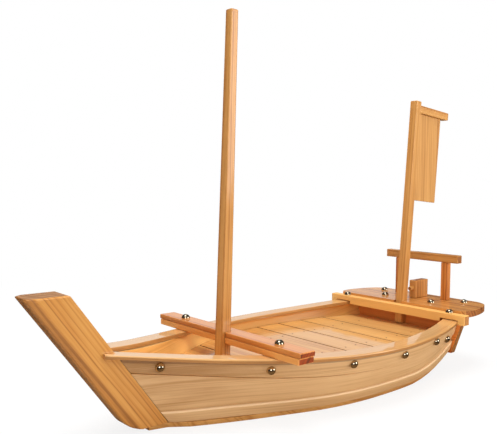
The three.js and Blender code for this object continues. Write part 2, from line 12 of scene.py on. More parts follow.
import bmesh
import bpy
import numpy as np
from mathutils import Matrix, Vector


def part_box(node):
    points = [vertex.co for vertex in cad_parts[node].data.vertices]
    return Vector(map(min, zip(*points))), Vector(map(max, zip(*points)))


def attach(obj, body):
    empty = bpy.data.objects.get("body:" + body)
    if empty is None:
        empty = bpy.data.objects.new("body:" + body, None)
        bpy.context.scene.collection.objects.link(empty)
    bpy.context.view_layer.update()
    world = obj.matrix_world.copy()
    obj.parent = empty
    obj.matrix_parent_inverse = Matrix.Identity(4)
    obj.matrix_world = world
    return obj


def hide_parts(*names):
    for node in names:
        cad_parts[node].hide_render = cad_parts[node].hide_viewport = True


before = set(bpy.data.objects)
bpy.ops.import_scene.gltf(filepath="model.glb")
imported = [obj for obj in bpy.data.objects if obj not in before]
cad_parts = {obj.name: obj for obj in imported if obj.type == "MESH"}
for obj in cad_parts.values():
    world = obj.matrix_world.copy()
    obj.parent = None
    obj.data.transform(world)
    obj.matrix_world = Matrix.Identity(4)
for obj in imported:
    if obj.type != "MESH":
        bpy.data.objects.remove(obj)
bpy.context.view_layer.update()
MM = 0.001

# %% [markdown]
# ## Camera
# The photograph looks at the boat from the port bow, a little above the deck. A camera could be placed by
# eye, but a small error moves every edge. Here the place, the two angles and the focal length come from
# the picture: straight bars, square sections and equal nails allow only one answer. A camera looks along
# its own minus Z, so its matrix is three directions at right angles and a place. Roll turns the picture
# by half a degree. The same function will aim the lamps.

# %% Camera
WIDE, FOCAL_PX = 497, 650.9
EYE = np.array([583.18, 617.74, 274.93]) * MM
YAW, PITCH, ROLL = math.radians(-130.97), math.radians(2.934), math.radians(0.61)


def aim(thing, place, way, roll=0.0):
    """Put a camera or lamp at a place, looking along a way.

    Level is way x up, upright is level x way, and both then turn by the roll.
    """
    way = np.asarray(way, float) / np.linalg.norm(way)
    level = np.cross(way, [0, 0, 1])
    level /= np.linalg.norm(level)
    upright = np.cross(level, way)
    turn = np.eye(4)
    turn[:3, 0] = math.cos(roll) * level + math.sin(roll) * upright
    turn[:3, 1] = math.cos(roll) * upright - math.sin(roll) * level
    turn[:3, 2] = -way
    turn[:3, 3] = place
    thing.matrix_world = Matrix(turn.tolist())
    bpy.context.scene.collection.objects.link(thing)


lens = bpy.data.cameras.new("camera")
lens.sensor_fit = "HORIZONTAL"
lens.sensor_width = 36
lens.lens = 36 * FOCAL_PX / WIDE
lens.clip_start = 0.01
camera = bpy.data.objects.new("camera", lens)
sight = [math.cos(PITCH) * math.cos(YAW), math.cos(PITCH) * math.sin(YAW), -math.sin(PITCH)]
aim(camera, EYE, sight, ROLL)
bpy.context.scene.camera = camera
print("lens", round(lens.lens, 2), "mm, eye at", EYE.round(3), "m")

# %% [markdown]
# ## Colours and shader nodes
# Colours are easiest to judge as they look on a screen, but a shader works in linear light, so one
# function turns the first into the second. A shader is a net of nodes. Writing it out takes three lines a
# node, so a second function adds a node, sets it and links it in one.

# %% Colour and node helpers
def linear(code):
    """Linear colour of an sRGB hex code: c / 12.92 when c is small, else ((c + 0.055) / 1.055) ** 2.4."""
    c = np.array([int(code[i:i + 2], 16) for i in (1, 3, 5)]) / 255
    light = np.where(c <= 0.04045, c / 12.92, ((c + 0.055) / 1.055) ** 2.4)
    return (*light.tolist(), 1.0)


def node(tree, kind, inputs=(), **settings):
    """Add one node: settings become its properties, inputs are linked or set."""
    made = tree.nodes.new(kind)
    for key, value in settings.items():
        setattr(made, key, value)
    for key, value in dict(inputs).items():
        if isinstance(value, bpy.types.NodeSocket):
            tree.links.new(value, made.inputs[key])
        else:
            made.inputs[key].default_value = value
    return made


def new_material(name):
    """A node material with nothing in it yet, and its node tree."""
    made = bpy.data.materials.new(name)
    made.use_nodes = True
    made.node_tree.nodes.clear()
    return made, made.node_tree


print("mid grey on screen is", round(linear("#808080")[0], 3), "in linear light")

# %% [markdown]
# ## Growth rings
# The boat is sawn from a pale softwood. Each year the tree lays down pale early wood and then a thin
# darker line of late wood, about 3 to 6 mm apart. A picture of grain could be wrapped round a board, but
# it would break at the edges. In the tree the rings are cylinders round the heart, so a solid pattern,
# the distance to the heart, serves the face, the edge and the end of a board at once. A slow noise bends
# the rings, and a noise from year to year makes them uneven.

# %% Growth rings
def growth_rings(tree, place, ring, warp):
    """Season = fraction of (distance to the heart / ring + warp * slow noise + 3 * yearly noise).

    Gives back how much late wood is here, from 0 to 1, and the noise of the year.
    """
    slow = node(tree, "ShaderNodeMapping", {"Vector": place, "Scale": (1 / 0.26, 1 / 0.03, 1 / 0.03)})
    sway = node(tree, "ShaderNodeTexNoise", {"Vector": slow.outputs[0], "Scale": 1.0, "Detail": 2.0})
    heart = node(tree, "ShaderNodeMapping",
                 {"Vector": place, "Location": (0, 0.09, 0.03), "Scale": (0, 1, 1)})
    reach = node(tree, "ShaderNodeVectorMath", {0: heart.outputs[0]}, operation="LENGTH")
    count = node(tree, "ShaderNodeMath",
                 {0: reach.outputs["Value"], 1: 1000 / ring}, operation="MULTIPLY")
    wavy = node(tree, "ShaderNodeMath",
                {0: sway.outputs[0], 1: warp, 2: count.outputs[0]}, operation="MULTIPLY_ADD")
    years = node(tree, "ShaderNodeTexNoise", {"W": wavy.outputs[0], "Scale": 0.4, "Detail": 1.0},
                 noise_dimensions="1D")
    uneven = node(tree, "ShaderNodeMath",
                  {0: years.outputs[0], 1: 3.0, 2: wavy.outputs[0]}, operation="MULTIPLY_ADD")
    season = node(tree, "ShaderNodeMath", {0: uneven.outputs[0]}, operation="FRACT")
    late = node(tree, "ShaderNodeValToRGB", {"Fac": season.outputs[0]})
    late.color_ramp.interpolation = "B_SPLINE"
    stops = late.color_ramp.elements
    stops[0].color, stops[1].color = (0.3, 0.3, 0.3, 1), (0.35, 0.35, 0.35, 1)
    for at, tone in ((0.35, 0.0), (0.68, 0.5), (0.86, 1.0)):
        stops.new(at).color = (tone, tone, tone, 1)
    return late.outputs["Color"], years.outputs[0]


print("rings 4 mm apart:", 1000 / 4, "rings in a metre")

# %% [markdown]
# ## Fibres and clouds
# Between the rings wood is streaked: fibres run along the board, and whole areas drift a little lighter
# or darker. Both are noise stretched along the grain. Real fibres are finer than a pixel here, so they
# are drawn 2 mm wide, coarse enough to show.

# %% Fibres and clouds
def streaks(tree, place):
    """Two noises stretched along the grain: fibres 70 by 2 mm and clouds 140 by 12 mm."""
    thread = node(tree, "ShaderNodeMapping", {"Vector": place, "Scale": (1 / 0.07, 1 / 0.002, 1 / 0.002)})
    fibre = node(tree, "ShaderNodeTexNoise",
                 {"Vector": thread.outputs[0], "Scale": 1.0, "Detail": 3.0, "Roughness": 0.6})
    patch = node(tree, "ShaderNodeMapping", {"Vector": place, "Scale": (1 / 0.14, 1 / 0.012, 1 / 0.012)})
    cloud = node(tree, "ShaderNodeTexNoise", {"Vector": patch.outputs[0], "Scale": 1.0, "Detail": 3.0})
    return fibre.outputs[0], cloud.outputs[0]


print("fibres drawn 2 mm wide, clouds 12 mm")

# %% [markdown]
# ## Lacquered pine
# The maker brushes clear gloss lacquer over the bare wood. Rings, fibres and clouds add up to one shade,
# and a ramp from pale to dark turns it into a colour. Four marks on a board's faces then act on it. A
# tone makes a whole board or a part of it lighter or darker, by its own colour or as painted light and
# shade. A sawn end drinks more lacquer, so it is darker and its rings are strong. A seam is brown where
# lacquer and dust gather, and the same brown is painted shade under the rail. The fourth mark is a
# painted highlight that makes an edge pale. The lacquer is the shader's clear coat: a thin gloss of its
# own over the duller wood, which mirrors the room. The raised late wood gives a faint bump.

# %% Lacquered pine
# Marks: tone, sawn end, seam brown that is also painted shade under the rail, and a painted highlight.
GRAIN_MARKS = ("tone", "end_cut", "seam", "worn")


def lacquered_pine(name, pale, middle, dark, end, ring, figure, warp, gloss, coat=0.8, soaked=0.7,
                   own_grain=True):
    """Shade = late wood * figure + fibres + clouds + tone; the colour runs pale, middle, dark.

    Ring is in mm, figure is how strong the rings are, and gloss is the roughness of the coat. Soaked is
    how far a sawn end takes the end colour.
    """
    made, tree = new_material(name)
    if own_grain:
        place = node(tree, "ShaderNodeAttribute", attribute_name="grain").outputs["Vector"]
    else:
        place = node(tree, "ShaderNodeTexCoord").outputs["Object"]
    tone, end_cut, seam, worn = (
        node(tree, "ShaderNodeAttribute", attribute_name=mark).outputs["Fac"] for mark in GRAIN_MARKS)
    late, years = growth_rings(tree, place, ring, warp)
    fibre, cloud = streaks(tree, place)

    strong = node(tree, "ShaderNodeMapRange",
                  {"Value": years, "From Min": 0.3, "From Max": 0.7,
                   "To Min": 0.35 * figure, "To Max": 1.5 * figure})
    shade = node(tree, "ShaderNodeMath",
                 {0: late, 1: strong.outputs[0], 2: -0.2 - 0.35 * figure}, operation="MULTIPLY_ADD")
    for noise in (fibre, cloud):
        shade = node(tree, "ShaderNodeMath",
                     {0: noise, 1: 0.7, 2: shade.outputs[0]}, operation="MULTIPLY_ADD")
    shade = node(tree, "ShaderNodeMath", {0: shade.outputs[0], 1: tone}, operation="ADD")
    face = node(tree, "ShaderNodeValToRGB", {"Fac": shade.outputs[0]})
    stops = face.color_ramp.elements
    stops[0].position, stops[0].color = 0.1, linear(pale)
    stops[1].position, stops[1].color = 0.95, linear(dark)
    stops.new(0.5).color = linear(middle)

    arcs = node(tree, "ShaderNodeMix",
                {"Factor": late, "A": linear(end), "B": linear("#5e2e0e")}, data_type="RGBA")
    soak = node(tree, "ShaderNodeMath", {0: end_cut, 1: soaked}, operation="MULTIPLY")
    wood = node(tree, "ShaderNodeMix",
                {"Factor": soak.outputs[0], "A": face.outputs["Color"], "B": arcs.outputs["Result"]},
                data_type="RGBA")
    # Brown for dark seams and for painted shade under the rail; pale for a painted highlight.
    for mark, colour in ((seam, "#562a0e"), (worn, "#ffdcae")):
        wood = node(tree, "ShaderNodeMix",
                    {"Factor": mark, "A": wood.outputs["Result"], "B": linear(colour)}, data_type="RGBA")

    dull = node(tree, "ShaderNodeMapRange", {"Value": fibre, "To Min": 0.35, "To Max": 0.55})
    raised = node(tree, "ShaderNodeBump",
                  {"Height": shade.outputs[0], "Strength": 0.15, "Distance": 0.0001})
    skin = node(tree, "ShaderNodeBsdfPrincipled",
                {"Base Color": wood.outputs["Result"], "Roughness": dull.outputs[0],
                 "Normal": raised.outputs[0], "Coat Weight": coat, "Coat Roughness": gloss,
                 "Coat IOR": 1.5})
    node(tree, "ShaderNodeOutputMaterial", {"Surface": skin.outputs[0]})
    return made


print("a board reads its grain and the marks", GRAIN_MARKS)

# %% [markdown]
# ## The boat's woods
# All of it is pine, but boards from different trees, with more or less lacquer, come out differently: the
# stem is golden and striped, the planking pale and even, the thwart almost red. One recipe with other
# numbers gives them all, so they look related, as they do on the boat.

# %% The boat's woods
# Golden heartwood with broad rings: bold stripes that run up the rake.
STEM = lacquered_pine("stem_pine_lacquered", "#da9e4e", "#ca863a", "#9c602a", "#d8a47c",
                      ring=5.6, figure=0.62, warp=1.5, gloss=0.1)
# Pale, thinly brushed sapwood: a calm side with a soft sheen.
HULL = lacquered_pine("hull_pine_lacquered", "#e2b985", "#d5a874", "#b98850", "#a06a38",
                      ring=4.4, figure=0.26, warp=1.0, gloss=0.2, coat=0.4)
# Flat yellow boards under a thick coat: a mirror for whatever stands behind them.
DECK = lacquered_pine("deck_pine_lacquered", "#e4b06a", "#d99f58", "#bb7d3a", "#b4642a",
                      ring=4.6, figure=0.4, warp=1.6, gloss=0.04)
# The lightest gold, with a thin coat: the stern beam, and the inner side of the planking, where the paler
# colour is painted light.
PALE = lacquered_pine("inner_pine_lacquered", "#f5b968", "#e8a858", "#c88a44", "#b4642a",
                      ring=4.6, figure=0.4, warp=1.6, gloss=0.1, coat=0.25)
# Close straight grain in the sticks: fine lines along their length.
BARS = lacquered_pine("bar_pine_lacquered", "#dda45c", "#d0924a", "#aa6828", "#9a5220",
                      ring=3.6, figure=0.5, warp=0.9, gloss=0.08)
# The glossiest wood of the boat: tops that turn white where they face the light.
RAILS = lacquered_pine("rail_pine_lacquered", "#e0ad70", "#d39c5c", "#b37a3e", "#b0602a",
                       ring=3.8, figure=0.45, warp=1.0, gloss=0.03, coat=1.0)
# Reddish board with a gloss top: the warmest colour on the boat.
RUSSET = lacquered_pine("thwart_pine_lacquered", "#da8f48", "#cd7a34", "#a0541c", "#b04608",
                        ring=3.4, figure=0.6, warp=0.9, gloss=0.06, soaked=1.0)
# The same red wood with little lacquer: strong lines and hardly a sheen.
POSTS = lacquered_pine("post_pine_lacquered", "#e69a4e", "#cb7830", "#9a521a", "#b04608",
                       ring=3.4, figure=0.6, warp=0.9, gloss=0.1, coat=0.35, soaked=1.0)
# A brighter board of that wood: its sawn ends stay golden.
TRANSOM = lacquered_pine("transom_pine_lacquered", "#ee9648", "#de8238", "#ac5a1e", "#aa6c2c",
                         ring=3.4, figure=0.6, warp=0.9, gloss=0.1, coat=0.35, soaked=1.0)
# Lively brown figure: the platform reads as wide, wavy boards.
STERN = lacquered_pine("stern_pine_lacquered", "#de9f58", "#cf8c42", "#965420", "#a85a24",
                       ring=4.4, figure=0.75, warp=1.6, gloss=0.05, coat=0.65)
# Bare wood from the saw, where nobody looks: pale and matt.
SAWN = lacquered_pine("bearer_pine_sawn", "#dcbf8e", "#cda873", "#b48a55", "#b48a55",
                      ring=4.0, figure=0.4, warp=1.0, gloss=0.3, coat=0.0, own_grain=False)
woods = (STEM, HULL, DECK, PALE, BARS, RAILS, RUSSET, POSTS, TRANSOM, STERN, SAWN)
print("woods:", [wood.name for wood in woods])

# %% [markdown]
# ## Metal
# The dome nails are steel, nickel plated and polished. A metal has no colour of its own under the shine:
# it mirrors its surroundings, tinted. So most of its look comes from the room built below. Handling
# leaves a faint haze, here a roughness that drifts over a few millimetres. The brads are wire gone brown
# under the lacquer.

# %% Nickel and brad finishes
def polished_metal(name, colour, rough, haze):
    """Roughness = rough + haze * noise over patches of 2.5 mm."""
    made, tree = new_material(name)
    spot = node(tree, "ShaderNodeTexCoord").outputs["Object"]
    smear = node(tree, "ShaderNodeTexNoise", {"Vector": spot, "Scale": 1 / 0.0025, "Detail": 3.0})
    dull = node(tree, "ShaderNodeMapRange",
                {"Value": smear.outputs[0], "To Min": rough, "To Max": rough + haze})
    skin = node(tree, "ShaderNodeBsdfPrincipled",
                {"Base Color": linear(colour), "Metallic": 1.0, "Roughness": dull.outputs[0]})
    node(tree, "ShaderNodeOutputMaterial", {"Surface": skin.outputs[0]})
    return made


# Warm silver mirror: a dark ball with small sharp lights.
NICKEL = polished_metal("nickel_polished", "#d2c2a8", 0.05, 0.05)
# Dull brown wire ends: dark dots on the deck.
BRAD = polished_metal("brad_wire_dark", "#3c2c1c", 0.4, 0.2)
print("metals:", NICKEL.name, BRAD.name)

# %% [markdown]
# ## Softened corners
# Nothing made by hand has a razor edge: sanding and lacquer round every corner, and that small round is
# what catches the light. A bevel modifier could do it, but a round that belongs to the profile can differ
# from corner to corner. Each corner of a profile is replaced by a short curve between two points on its
# sides.

# %% Softened corners
def softened(corners, radius, steps=4):
    """Corner c becomes (1-t)^2 a + 2t(1-t) c + t^2 b, with a and b one radius along its two sides."""
    radius = np.broadcast_to(radius, corners.shape[:-1])[..., None]

    def toward(other):
        side = other - corners
        length = np.linalg.norm(side, axis=-1, keepdims=True)
        return corners + side / length * np.minimum(radius, 0.45 * length)

    a = toward(np.roll(corners, 1, axis=-2))[..., None, :]
    b = toward(np.roll(corners, -1, axis=-2))[..., None, :]
    t = np.linspace(0, 1, steps)[:, None]
    curve = (1 - t) ** 2 * a + 2 * t * (1 - t) * corners[..., None, :] + t ** 2 * b
    return curve.reshape(*corners.shape[:-2], -1, corners.shape[-1])


square = softened(np.array([[0.0, 0], [10, 0], [10, 10], [0, 10]]), 1.0)
print("a square of 4 corners becomes", len(square), "points")

# %% [markdown]
# ## What every piece gets
# A board brings its own place in the tree, so each piece is given a random shift of its grain and a
# slightly different tone, from a fixed seed so that each run is the same. The marks go on the faces. The
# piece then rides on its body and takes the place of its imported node. Weighted normals let the wide faces
# set the shading, since otherwise a flat board between two round edges looks like a pillow.

# %% Finish of a piece
chance = np.random.default_rng(11)


def finish_piece(name, mesh, grain, marks, material, body, replaced):
    """Store the grain place (along, across, through, in mm) and the face marks, then hang the piece."""
    shift = chance.uniform((0, -12, -12), (900, 12, 12))
    marks = {**marks, "tone": marks["tone"] + chance.uniform(-0.07, 0.07)}
    store = mesh.attributes.new("grain", "FLOAT_VECTOR", "POINT")
    store.data.foreach_set("vector", ((grain + shift) * MM).astype(np.float32).ravel())
    for mark, values in marks.items():
        store = mesh.attributes.new(mark, "FLOAT", "FACE")
        values = np.broadcast_to(values, len(mesh.polygons)).astype(np.float32)
        store.data.foreach_set("value", values)
    mesh.materials.append(material)
    made = bpy.data.objects.new(name, mesh)
    bpy.context.scene.collection.objects.link(made)
    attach(made, body)
    if replaced:
        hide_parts(*replaced)
    return made


def keep_flats(made):
    """Let the wide faces set the shading, so a flat board between two round edges looks flat."""
    weigh = made.modifiers.new("flat_faces", "WEIGHTED_NORMAL")
    weigh.keep_sharp = True
    weigh.weight = 100


# %% [markdown]
# ## Pieces from rings
# Most pieces of the boat are one closed profile carried along a line: a plank, a rail, a square bar, a
# dome. Blender could sweep a profile along a curve, but then the grain would not follow. Here the shape
# is an array of rings, each a loop of points. Neighbouring rings are joined by four-sided faces and the
# two ends are closed. The grain place travels with each point, so the pattern follows a curved plank.

# %% Skinned rings
def skinned(name, loops, grain, material, slot, body="hull", replaced=(), flats=True, inside=None,
            **marks):
    """Face (i, j) joins points j and j + 1 of ring i to those of ring i + 1; two faces close the ends.

    Marks are laid over the rings of faces. Inside is a second material and the faces that take it.
    """
    rings, count = loops.shape[:2]
    i, j = np.meshgrid(np.arange(rings - 1), np.arange(count), indexing="ij")
    a, b = i * count + j, i * count + (j + 1) % count
    quads = np.stack([a, b, b + count, a + count], -1).reshape(-1, 4).tolist()
    last = (rings - 1) * count
    ends = [list(range(count))[::-1], list(range(last, last + count))]
    mesh = bpy.data.meshes.new(name)
    mesh.from_pydata((loops.reshape(-1, 3) * MM).tolist(), [], quads + ends)
    tidy = bmesh.new()
    tidy.from_mesh(mesh)
    bmesh.ops.recalc_face_normals(tidy, faces=tidy.faces)
    tidy.to_mesh(mesh)
    tidy.free()
    mesh.shade_smooth()
    mesh.set_sharp_from_angle(angle=math.radians(50))

    def over_faces(values):
        values = np.broadcast_to(values, (rings - 1, count)).ravel()
        return np.r_[values, values[0], values[0]]

    marks = {mark: over_faces(values) for mark, values in {"tone": 0.0, **marks}.items()}
    marks["end_cut"] = np.r_[np.zeros(len(quads)), 1, 1]
    made = finish_piece(name, mesh, grain.reshape(-1, 3), marks, material, body, replaced)
    if inside is not None:
        mesh.materials.append(inside[0])
        mesh.polygons.foreach_set("material_index", over_faces(inside[1]).astype(np.int32))
    if flats:
        keep_flats(made)
    return made


print("rings become closed pieces with faces outwards")

# %% [markdown]
# ## Lines of the hull
# A boat is drawn by offsets: half breadths and heights at stations along its length, in millimetres. One
# table gives the rail and another the edge of the floor. Straight lines between the stations would show
# as kinks, so a builder bends a batten through the points. A smooth cubic through the table does the
# same.

# %% Tables of offsets
RAIL = np.array([
    [-282, 104, 82], [-246, 117, 79], [-183, 131.5, 75.4], [-100, 138.8, 73.3], [-20, 131.5, 74.2],
    [60, 109.8, 77.6], [140, 76.3, 83.6], [200, 48.6, 89.8], [262, 24.5, 97.6]])
FLOOR = np.array([
    [-282, 85, 24], [-245, 91, 12.5], [-205, 96.5, 4], [-165, 100, 0], [-110, 101.5, 0], [-59, 99.5, 0],
    [-11, 92, 0], [30, 80, 0], [81, 60, 0], [116, 45.5, 0], [149, 32, 0], [179, 17.5, 0]])


def fair(table, column):
    """Cubic through the table: at each row the slope is that between its two neighbours."""
    x, y = table[:, 0], table[:, column]
    rows = np.arange(len(x))
    low, high = np.maximum(rows - 1, 0), np.minimum(rows + 1, len(x) - 1)
    slope = (y[high] - y[low]) / (x[high] - x[low])

    def curve(at):
        at = np.asarray(at, float)
        i = np.clip(np.searchsorted(x, at) - 1, 0, len(x) - 2)
        span = x[i + 1] - x[i]
        t = np.clip((at - x[i]) / span, 0, 1)
        rise = 3 * t ** 2 - 2 * t ** 3
        lean = slope[i] * (t - 2 * t ** 2 + t ** 3) + slope[i + 1] * (t ** 3 - t ** 2)
        return y[i] * (1 - rise) + y[i + 1] * rise + span * lean

    return curve


rail_half, rail_top = fair(RAIL, 1), fair(RAIL, 2)
floor_half, floor_rise = fair(FLOOR, 1), fair(FLOOR, 2)
print("widest", round(2 * float(rail_half(np.linspace(-282, 262, 500)).max())), "mm over the rails")

# %% [markdown]
# ## Planking
# The side of the boat is ruled: straight lines run from the floor's edge up to the rail. Near the bow
# they lean forward more and more until they match the rake of the stem, and there the side is drawn in to
# meet the stem's flat cheek. So one function of two numbers, along the boat and up the side, gives any
# point of the outer face.

# %% Planking
GLUE, BOARD, PLANK, LAP = 0.2, 6.0, 6.0, 2.5
RAIL_THICK, RAIL_WIDE, RAIL_OVER, RAIL_NOSE = 5.0, 24.0, 4.5, 259.0
TRANSOM_X, STEM_X, STEM_RAKE, STEM_HALF = -281.5, 178.0, 0.755, 17.5


def stem_aft(z):
    """The aft face of the stem: it runs forward by the rake for each millimetre of height."""
    return STEM_X + STEM_RAKE * (z - BOARD)


stem_sheer = BOARD
for _ in range(30):
    stem_sheer = float(rail_top(stem_aft(stem_sheer) - GLUE)) - RAIL_THICK - GLUE


def tuck(run):
    """Share by which the planking is drawn in to the stem: none amidships, all at the stem."""
    return np.maximum(0, (run - 0.45) / 0.55) ** 3


def planking(run, rise):
    """Point of the outer face: run from transom to stem, rise from floor to rail, ruled between them."""
    run, rise = np.broadcast_arrays(np.asarray(run, float), np.asarray(rise, float))
    aft = TRANSOM_X + GLUE
    low_x = aft + (STEM_X - GLUE - aft) * run
    high_x = aft + (stem_aft(stem_sheer) - GLUE - aft) * run
    low = np.stack([low_x, floor_half(low_x), BOARD + np.maximum(0, floor_rise(low_x)) + GLUE], -1)
    wide = rail_half(high_x) - RAIL_OVER - LAP
    wide = wide + (STEM_HALF - wide) * tuck(run)
    high = np.stack([high_x, wide, rail_top(high_x) - RAIL_THICK - GLUE], -1)
    return low + (high - low) * rise[..., None]


print("the sheer meets the stem at z =", round(stem_sheer, 1), "mm")

# %% [markdown]
# ## Strakes
# Three planks, called strakes, make each side. The lowest and the highest stand a little proud of the
# middle one. The lapped edge of the lowest is rounded and carries a painted highlight, so it shows as a
# bright line. Under the rail a brown line of painted shade stands for the rail's shadow. A plank is a
# five-cornered section carried from the transom to the stem: the extra corner on its outer face only
# bounds that line.

# %% A strake
PLANK_LONG = 520
# Inner faces of the planking are painted paler: painted light on the inside of the hull.
INNER_PAINTED_LIGHT = -0.35
LOW_FLAT, HIGH_FLAT = 3, 7  # faces after the first and second softened corner of a section
run = np.linspace(0, 1, 91)
side_height = planking(run, 1)[:, 2] - planking(run, 0)[:, 2]


def strake(name, side, low, high, proud, radii, groove=0.0, highlight_share=0.0, tone=0.0, strip=8.0, rail_shade=(0, 0)):
    """Section corners (rise, out): outer low, strip, outer high, inner high, inner low, along the run.

    The outer upper corner sits lower by the groove, and its round takes a painted highlight by the share
    rub. Painted shade under the rail is laid by two shares, on the outer face and in the strip above it.
    The inner faces are painted paler, as painted light.
    """
    rise = np.stack([low, high - strip / side_height, high - groove / side_height, high, low], -1)
    face = proud * (1 - 0.8 * np.clip((run - 0.95) / 0.05, 0, 1) ** 2)
    out = np.stack([face, face, face, face * 0 - PLANK, face * 0 - PLANK], -1)
    loops = planking(run[:, None], rise)
    loops[..., 1] = side * (loops[..., 1] + out)
    fore = np.broadcast_to(run[:, None] * PLANK_LONG, rise.shape)
    grain = np.stack([fore, rise * side_height[:, None], out], -1)
    hand = "port" if side > 0 else "stbd"
    inner = np.repeat([0, 0, 0, 1, 1], 4)
    # Painted shade under the rail: the seam brown on the outer face and on the strip below the rail.
    rail_shade_faces = np.zeros((len(run) - 1, len(inner)))
    rail_shade_faces[:, [LOW_FLAT]], rail_shade_faces[:, [HIGH_FLAT]] = rail_shade
    return skinned(f"{name}_plank_{hand}", softened(loops, radii), softened(grain, radii), HULL,
                   "hull_wood", replaced=[f"{name}_{hand}"], inside=(PALE, inner),
                   tone=np.where(inner, INNER_PAINTED_LIGHT, tone), seam=rail_shade_faces,
                   worn=np.repeat([0, 0, highlight_share, 0, 0], 4) * np.tile([1, 1, 1, 0], 5))


print("sides", side_height.min().round(1), "to", side_height.max().round(1), "mm high")

# %% [markdown]
# ## Laying the strakes
# The planks go on from the floor up, as on a real boat: garboard, middle strake, sheer strake. Both upper
# ones are painted darker toward the bow: painted shade, deepest under the rail. The starboard side is the
# mirror of the port one.

# %% Strakes on both sides
GARBOARD, SHEER, SHEER_BOW, LAP_ROUND = 14.4, 22.0, 18.5, 3.2
bottom = np.zeros_like(run)
garboard_top = GARBOARD / side_height
sheer_height = (SHEER + (SHEER_BOW - SHEER) * tuck(run)) / side_height
# Painted shade: the upper strakes darken toward the bow.
bow_shade = np.clip((run[1:, None] - 0.6) / 0.35, 0, 1)
# The strip of painted shade under the rail widens toward the bow.
shaded = 3.2 + 3.2 * np.clip((run - 0.55) / 0.35, 0, 1)
for side in (1, -1):
    strake("garboard", side, bottom, garboard_top - GLUE / side_height, LAP,
           [0.4, 0.4, LAP_ROUND, 0.4, 0.4], highlight_share=0.7)
    strake("mid_strake", side, garboard_top, 1 - sheer_height - GLUE / side_height, 0,
           [0.05, 0.2, 0.2, 0.2, 0.05], groove=1.2, tone=0.2 * bow_shade)
    strake("sheer_strake", side, 1 - sheer_height, bottom + 1, LAP,
           [0.7, 0.2, 0.3, 0.4, 0.4], tone=0.5 * bow_shade, strip=shaded, rail_shade=(0.16 * bow_shade, 0.45))
print("three strakes a side, the lowest", GARBOARD, "mm high")

# %% [markdown]
# ## Cap rails
# A flat board lies on top of the planking and hangs over it. It runs past both sides of the stem, so its
# inner edge steps out where it meets the stem, and its nose is rounded. Its sections lean with the rake
# there. Like the strakes it is a section carried along a line. Its outer edge is painted darker, most on
# its lower round, as painted shade under the rail's lip. Its top is paler toward the bow, a painted sheen.

# %% Cap rails
NOSING = 8.0
stem_here = stem_aft(stem_sheer + RAIL_THICK)
along = np.unique(np.r_[np.linspace(TRANSOM_X + GLUE, RAIL_NOSE - NOSING, 91),
                        stem_here + np.array([-0.3, 0.3]),
                        RAIL_NOSE - NOSING * np.linspace(0, 0.9, 8) ** 2])
lean = np.clip((along - 150) / 80, 0, 1) * STEM_RAKE * np.clip((RAIL_NOSE - along) / NOSING, 0, 1)
inner = np.where(along > stem_here, STEM_HALF + GLUE, rail_half(along) - RAIL_WIDE)
turning = np.clip((along - RAIL_NOSE + NOSING) / NOSING, 0, 1)
outer = rail_half(along)
outer = outer - (outer - STEM_HALF - 2.5) * (1 - np.sqrt(1 - 0.96 * turning ** 2))
top = rail_top(along)
breadth = np.stack([inner, outer, outer, inner], -1)
height = np.stack([top - RAIL_THICK, top - RAIL_THICK, top, top], -1)
ahead = along[:, None] + lean[:, None] * (height - top[:, None])
grain = np.stack([ahead, breadth - outer[:, None], height - top[:, None]], -1)
radii = [0.5, 1.2, 1.8, 0.8]
# Painted shade on the outer edge, darkest on its lower round; the top faces take the painted sheen.
edge_tone, top_face = np.repeat([[0, 0.9, 0, 0], [0, 0, 1, 0]], 4, axis=1)
edge_tone[HIGH_FLAT] = 0.4
# Painted sheen: the rail top grows paler toward the bow.
painted_sheen = 0.15 + 0.4 * np.clip((along - 40) / 140, 0, 1)
for hand, side in (("port", 1), ("stbd", -1)):
    loops = np.stack([ahead, side * breadth, height], -1)
    skinned(f"cap_rail_board_{hand}", softened(loops, radii), softened(grain, radii), RAILS, "bar_wood",
            replaced=[f"cap_rail_{hand}"], tone=edge_tone - painted_sheen[1:, None] * top_face)
print("rails", round(float(outer.max() * 2)), "mm wide over all")

# %% [markdown]
# ## Lines of the stem
# The stem is the boat's showpiece: one thick post that rakes forward. Its fore side narrows to a blunt
# nose, its toe is rounded off where it would stub the table, and its top is cut level. It could be carved
# from a block with cuts. Level sections are simpler: at each height the aft face, the start of the nose
# and the tip are known, and the top ones shrink a little to round the upper edge.

# %% Lines of the stem
STEM_TOP, STEM_FOOT, NOSE_HALF, NOSE_LONG = 162.0, BOARD + GLUE, 10.0, 12.0
FOOT_WIDE, TOP_WIDE, TOE, STEM_SOFT = 45.5, 49.0, 12.0, 1.6
arc = np.linspace(0, math.pi / 2, 5)
z = np.r_[STEM_FOOT, STEM_FOOT + np.linspace(0.3, TOE, 9), np.linspace(20, STEM_TOP - STEM_SOFT - 1, 30),
          STEM_TOP - STEM_SOFT + STEM_SOFT * np.sin(arc)]
inset = np.r_[np.zeros(len(z) - len(arc)), STEM_SOFT * (1 - np.cos(arc))]
aft = stem_aft(z)
front = aft + FOOT_WIDE + (TOP_WIDE - FOOT_WIDE) * (z - BOARD) / (STEM_TOP - BOARD)

# The toe is a curve from the foot to the nose: t runs as the root of the height above the foot.
toe_x = STEM_X + FOOT_WIDE
t = np.sqrt(np.clip((z - STEM_FOOT) / TOE, 0, 1))
toe = (1 - t) ** 2 * (toe_x - TOE) + 2 * t * (1 - t) * toe_x + t ** 2 * (toe_x + STEM_RAKE * TOE)
tip = np.where(z < STEM_FOOT + TOE, toe, np.minimum(front, toe_x + STEM_RAKE * (z - STEM_FOOT)))
tip_half = np.clip(NOSE_HALF + (STEM_HALF - NOSE_HALF) * (front - tip) / NOSE_LONG, NOSE_HALF, STEM_HALF)
nose = np.minimum(front - NOSE_LONG, tip - 1.5)
print("stem reaches", round(float(tip.max()), 1), "mm forward of midships")
